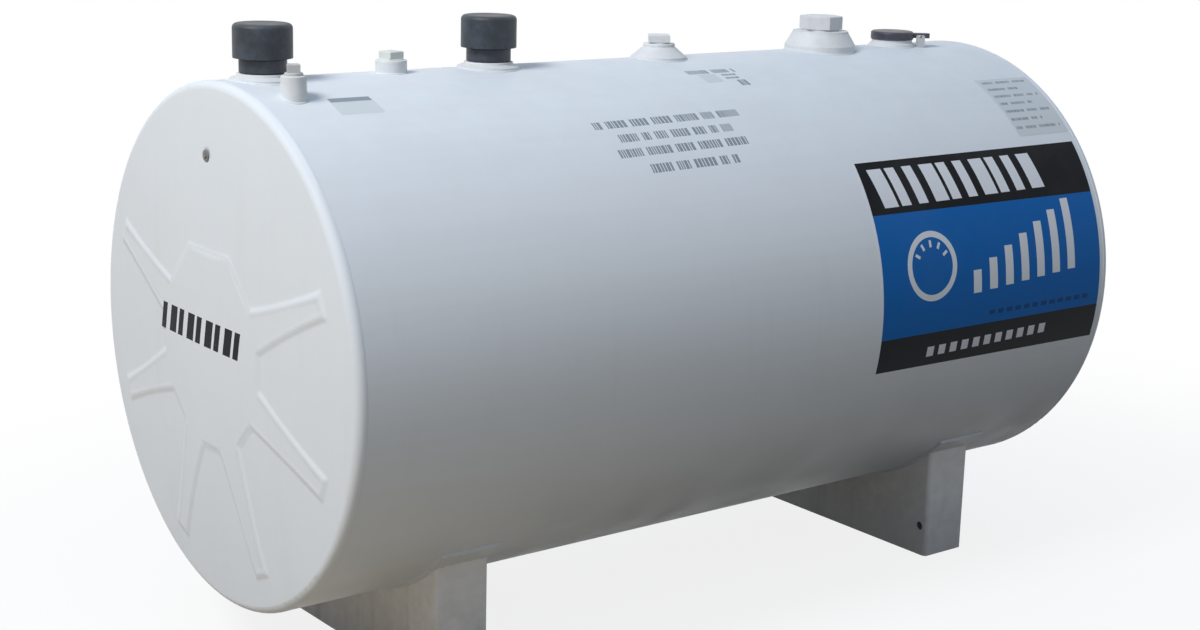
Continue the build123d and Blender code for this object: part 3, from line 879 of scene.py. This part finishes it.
class FUEL_TANK_OT_stick_decal(bpy.types.Operator):
    """Stick the large blue and black decal on the shell"""

    bl_idname = "fuel_tank.stick_decal"
    bl_label = "Stick Large Decal"

    def execute(self, context):
        trim = context.scene.tank_trim
        left, right = trim.decal_start, trim.decal_end
        top = math.degrees(trim.decal_top) * ARC_PER_DEGREE
        foot = math.degrees(trim.decal_foot) * ARC_PER_DEGREE
        right_foot = foot + 0.007
        side_margin = 0.006
        top_margin = side_margin / 3.0

        sheet = bmesh.new()
        add_outline(sheet, [(left - side_margin, top - top_margin), (right, top - top_margin),
                            (right, right_foot), (left - side_margin, foot)], rounding=0.004)
        stick("decal_backing", sheet, "pale_vinyl")

        sheet = bmesh.new()
        add_outline(sheet, [(left, top), (right, top), (right, right_foot), (left, foot)],
                    rounding=0.003)
        stick("decal_blue_field", sheet, "blue_vinyl")

        sheet = bmesh.new()
        upper_left, upper_right, lower_left, lower_right = 0.143, 0.150, 0.089, 0.094
        add_outline(sheet, [(left, top), (right, top), (right, top + upper_right),
                            (left, top + upper_left)])
        add_outline(sheet, [(left, foot - lower_left), (right, right_foot - lower_right),
                            (right, right_foot), (left, foot)])
        stick("decal_black_fields", sheet, "black_vinyl")

        sheet = bmesh.new()
        self.draw_slanted_bars(sheet, left + 0.050, top + 0.021)
        self.draw_rising_bars(sheet, left + 0.330, foot - 0.175)
        add_bars(sheet, count=11, pitch=0.043, left=left + 0.175, top=foot - 0.050, width=0.025,
                 height=0.027, climb=0.0008)
        self.draw_gauge(sheet, left + 0.180, top + 0.288)
        stick("decal_pale_marks", sheet, "pale_vinyl")

        sheet = bmesh.new()
        add_bars(sheet, count=12, pitch=0.034, left=left + 0.395, top=foot - 0.122, width=0.022,
                 height=0.012)
        stick("decal_deep_marks", sheet, "deep_blue_vinyl")
        return {"FINISHED"}

    @staticmethod
    def draw_slanted_bars(sheet, start, around):
        """A row of wide and narrow slanted bars."""
        pitch, tall, loss, lean = 0.062, 0.106, 0.0006, -0.020
        for number in range(10):
            wide = 0.034 if number % 3 else 0.050
            add_bar(sheet, start + pitch * number, around, wide, tall - loss * number, lean)

    @staticmethod
    def draw_rising_bars(sheet, start, foot):
        """A row of bars of which each is taller than the last."""
        pitch, wide, first, growth, climb = 0.062, 0.030, 0.060, 0.022, 0.004
        for number in range(7):
            tall = first + growth * number
            add_bar(sheet, start + pitch * number, foot - climb * number - tall, wide, tall)

    @staticmethod
    def draw_gauge(sheet, along, around):
        """A plain dial: a ring with five ticks."""
        radius, width = 0.090, 0.016
        tick_start, tick_end, tick_half = 0.048, 0.066, 0.004
        add_ring(sheet, along, around, radius, width)
        centre = Vector((along, around))
        for degrees in (-60.0, -30.0, 0.0, 30.0, 60.0):
            angle = math.radians(degrees)
            aim = Vector((math.sin(angle), -math.cos(angle)))
            side = Vector((-aim.y, aim.x)) * tick_half
            inner, outer = centre + aim * tick_start, centre + aim * tick_end
            add_outline(sheet, [inner - side, outer - side, outer + side, inner + side])


class FUEL_TANK_OT_print_rows(bpy.types.Operator):
    """Print the four grey rows of dashes and stick the small labels"""

    bl_idname = "fuel_tank.print_rows"
    bl_label = "Print Rows and Labels"

    def execute(self, context):
        chance = random.Random("rows")
        sheet = bmesh.new()
        tall, lift, slope = 0.024, 0.010, 0.022
        for start, stop, degrees in ((-0.404, 0.070, 34.2), (-0.354, 0.001, 38.5),
                                     (-0.380, 0.035, 42.8), (-0.310, -0.031, 47.3)):
            add_dashes(sheet, chance, start, stop, degrees * ARC_PER_DEGREE - lift, tall, slope)
        stick("printed_rows", sheet, "grey_ink")

        paper = bmesh.new()
        ink = bmesh.new()
        self.draw_near_label(paper, ink)
        self.draw_middle_label(paper, ink, chance)
        self.draw_far_label(paper, ink, chance)
        stick("label_sheets", paper, "label_film")
        stick("label_print", ink, "grey_ink")
        return {"FINISHED"}

    @staticmethod
    def draw_near_label(paper, ink):
        """The near label: pale, with one dark band along its top."""
        start, stop, top, foot = -1.018, -0.908, 17.0, 24.3
        around = top * ARC_PER_DEGREE
        add_bar(paper, start, around, stop - start, (foot - top) * ARC_PER_DEGREE,
                rounding=0.004)
        add_bar(ink, start + 0.003, around + 0.002, stop - start - 0.006, 0.019)

    @staticmethod
    def draw_middle_label(paper, ink, chance):
        """The middle label: a small pale sheet among rows of dashes."""
        start, around = 0.0, 14.0 * ARC_PER_DEGREE
        add_dashes(ink, chance, start + 0.029, start + 0.188, around + 0.002, 0.022)
        add_bar(paper, start + 0.050, around + 0.030, 0.055, 0.046, rounding=0.003)
        add_dashes(ink, chance, start + 0.125, start + 0.188, around + 0.034, 0.009)
        add_dashes(ink, chance, start + 0.125, start + 0.170, around + 0.052, 0.009)
        add_dashes(ink, chance, start + 0.148, start + 0.180, around + 0.070, 0.028)

    @staticmethod
    def draw_far_label(paper, ink, chance):
        """The far label: a large pale sheet with seven rows of dashes."""
        corners = ((0.950, 28.3), (1.164, 28.3), (1.164, 48.6), (0.962, 48.6))
        add_outline(paper, [(along, degrees * ARC_PER_DEGREE) for along, degrees in corners],
                    rounding=0.004)
        start, stop, shorter, tall = 0.970, 1.150, 0.050, 0.009
        first_row, row_pitch = 29.4, 2.7
        for row in range(7):
            around = (first_row + row_pitch * row) * ARC_PER_DEGREE
            add_dashes(ink, chance, start, stop - shorter * (row % 2), around, tall)


class FUEL_TANK_OT_mark_head(bpy.types.Operator):
    """Print the row of slanted bars on the near head"""

    bl_idname = "fuel_tank.mark_head"
    bl_label = "Mark Near Head"

    def execute(self, context):
        sheet = bmesh.new()
        start, foot, pitch, tall, lean = -0.232, 0.009, 0.0455, 0.064, -0.014
        for number in range(9):
            wide = 0.034 if number % 2 else 0.024
            add_bar(sheet, start + pitch * number, foot, wide, tall, lean)
        stick("head_mark", sheet, "head_ink", bend=to_head, sink=HEAD_FILM_SINK, pitch=0.016)
        return {"FINISHED"}


def seen_plainly(tree):
    """1 for rays from the camera, gloss and glass, and 0 for the light on the tank."""
    path = put(tree, "LightPath").outputs
    direct = maths(tree, "ADD", path["Is Camera Ray"], path["Is Glossy Ray"])
    return maths(tree, "ADD", direct, path["Is Transmission Ray"], clamp=True)


def mix_floor(stage):
    """A pale floor that keeps the tank's shadow, turns white further out and gives warm light."""
    clear_old(bpy.data.materials, "studio_floor")
    material = bpy.data.materials.new("studio_floor")
    material.use_nodes = True
    tree = material.node_tree
    tree.nodes.clear()
    spot = spot_here(tree)
    oval = vector_maths(tree, "MULTIPLY", spot, (0.7, 1.0, 0.0))
    glow = fade(tree, reach_of(tree, oval), 0.8, 2.6, low=0.84, high=1.0)

    # A painted shadow: the floor is dark where it shows through a hole in the far saddle.
    hole = (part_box("far_saddle")[0].x + 0.180, -0.197, 0.0)
    from_hole = reach_of(tree, vector_maths(tree, "SUBTRACT", spot, hole))
    painted_shadow_spot = fade(tree, from_hole, 0.045, 0.085, low=1.0, high=0.0)
    glow = maths(tree, "MULTIPLY", glow, maths(tree, "SUBTRACT", 1.0, painted_shadow_spot), clamp=True)
    white = put(tree, "Emission", {"Color": (1.0, 1.0, 1.0, 1.0)})
    # Painted shadow: the pale floor turns dark round that spot, and its white glow is taken out
    # there.
    pale = put(tree, "BsdfDiffuse", {"Color": tint(tree, painted_shadow_spot, (0.90, 0.90, 0.90),
                                                   (0.10, 0.10, 0.10))})
    shown = put(tree, "MixShader", {0: glow, 1: pale.outputs[0], 2: white.outputs[0]})

    # Painted shade: past the tank's far end, in its shade, the floor gives back little light.
    from_shade = reach_of(tree, vector_maths(tree, "SUBTRACT", oval, (1.0, 0.0, 0.0)))
    lit = fade(tree, from_shade, 1.0, 2.4)
    bounce = put(tree, "BsdfDiffuse", {"Color": tint(tree, lit, shade(stage.ground, 0.06),
                                                     stage.ground)})
    both = put(tree, "MixShader", {0: seen_plainly(tree), 1: bounce.outputs[0],
                                   2: shown.outputs[0]})
    put(tree, "OutputMaterial", {"Surface": both.outputs[0]})
    return material


class FUEL_TANK_OT_set_stage(bpy.types.Operator):
    """Set the floor, the lamp, the sky and the camera"""

    bl_idname = "fuel_tank.set_stage"
    bl_label = "Set Stage"

    def execute(self, context):
        stage = context.scene.tank_stage
        self.lay_floor(stage)
        self.hang_lamp(stage)
        self.paint_sky(context, stage)
        self.place_camera(context, stage)
        context.scene.view_settings.view_transform = "Standard"
        return {"FINISHED"}

    @staticmethod
    def lay_floor(stage):
        """A large plain floor at ground level."""
        made = bmesh.new()
        bmesh.ops.create_grid(made, x_segments=1, y_segments=1, size=stage.floor_size / 2.0)
        mesh = bpy.data.meshes.new("studio_floor")
        made.to_mesh(mesh)
        made.free()
        mesh.materials.append(mix_floor(stage))
        new_object("studio_floor", mesh)

    @staticmethod
    def hang_lamp(stage):
        """One large soft lamp over the near head."""
        lamp = bpy.data.lights.new("key_lamp", "AREA")
        lamp.shape = "SQUARE"
        lamp.size = stage.key_size
        lamp.energy = stage.key_power
        lamp.color = (1.0, 0.99, 0.975)
        holder = new_object("key_lamp", lamp)
        aim = Vector((-0.69, -0.10, 0.72)).normalized()
        holder.location = Vector((0.0, 0.0, AXIS_HEIGHT)) + aim * stage.key_distance
        holder.rotation_euler = aim.to_track_quat("Z", "Y").to_euler()

    @staticmethod
    def paint_sky(context, stage):
        """Soft light from all round; the camera and gloss see plain white."""
        clear_old(bpy.data.worlds, "studio_sky")
        world = bpy.data.worlds.new("studio_sky")
        context.scene.world = world
        world.use_nodes = True
        tree = world.node_tree
        tree.nodes.clear()
        up = part_of(tree, put(tree, "TexCoord").outputs["Generated"], "Z")
        sky = tint(tree, fade(tree, up, 0.0, 1.0), stage.horizon, stage.zenith)
        light = tint(tree, seen_plainly(tree), sky, (1.0, 1.0, 1.0))
        shine = put(tree, "Background", {"Color": light})
        put(tree, "OutputWorld", {"Surface": shine.outputs[0]})

    @staticmethod
    def place_camera(context, stage):
        """The camera stands where the photograph was taken."""
        eye = (-3.1768, -3.9641, 1.9081)
        right = Vector((0.79357864, -0.60796595, 0.02470517))
        up = Vector((0.12038164, 0.19667496, 0.97305047))
        back = Vector((-0.59644044, -0.76921802, 0.22926498))
        lens = bpy.data.cameras.new("photo_camera")
        lens.lens = stage.lens
        lens.sensor_fit = "HORIZONTAL"
        lens.sensor_width = 36.0
        camera = new_object("photo_camera", lens)
        turned = Matrix((right, up, back)).transposed().to_4x4()
        camera.matrix_world = Matrix.Translation(eye) @ turned
        context.scene.camera = camera


STEPS = (
    FUEL_TANK_OT_mix_finishes,
    FUEL_TANK_OT_paint_body,
    FUEL_TANK_OT_paint_saddles,
    FUEL_TANK_OT_finish_ports,
    FUEL_TANK_OT_weld_body,
    FUEL_TANK_OT_weld_saddles,
    FUEL_TANK_OT_stick_decal,
    FUEL_TANK_OT_print_rows,
    FUEL_TANK_OT_mark_head,
    FUEL_TANK_OT_set_stage,
)


class FUEL_TANK_PT_steps(bpy.types.Panel):
    """Steps and settings of the fuel tank"""

    bl_label = "Fuel Tank"
    bl_space_type = "VIEW_3D"
    bl_region_type = "UI"
    bl_category = "Fuel Tank"

    def draw(self, context):
        for step in STEPS:
            self.layout.operator(step.bl_idname)
        for name, group in SETTINGS.items():
            box = self.layout.box()
            for setting in group.__annotations__:
                box.prop(getattr(context.scene, name), setting)


SETTINGS = {"tank_finish": TankFinish, "tank_trim": TankTrim, "tank_stage": TankStage}


def register():
    """Adds the settings, the steps and the panel."""
    for group in SETTINGS.values():
        bpy.utils.register_class(group)
    for name, group in SETTINGS.items():
        setattr(bpy.types.Scene, name, PointerProperty(type=group))
    for step in (*STEPS, FUEL_TANK_PT_steps):
        bpy.utils.register_class(step)


def unregister():
    """Takes them away again."""
    for step in reversed((*STEPS, FUEL_TANK_PT_steps)):
        bpy.utils.unregister_class(step)
    for name in SETTINGS:
        delattr(bpy.types.Scene, name)
    for group in reversed(SETTINGS.values()):
        bpy.utils.unregister_class(group)


def main():
    """Finishes the tank step by step."""
    register()
    bpy.ops.fuel_tank.mix_finishes()
    bpy.ops.fuel_tank.paint_body()
    bpy.ops.fuel_tank.paint_saddles()
    bpy.ops.fuel_tank.finish_ports()
    bpy.ops.fuel_tank.weld_body()
    bpy.ops.fuel_tank.weld_saddles()
    bpy.ops.fuel_tank.stick_decal()
    bpy.ops.fuel_tank.print_rows()
    bpy.ops.fuel_tank.mark_head()
    bpy.ops.fuel_tank.set_stage()


if __name__ == "__main__":
    main()
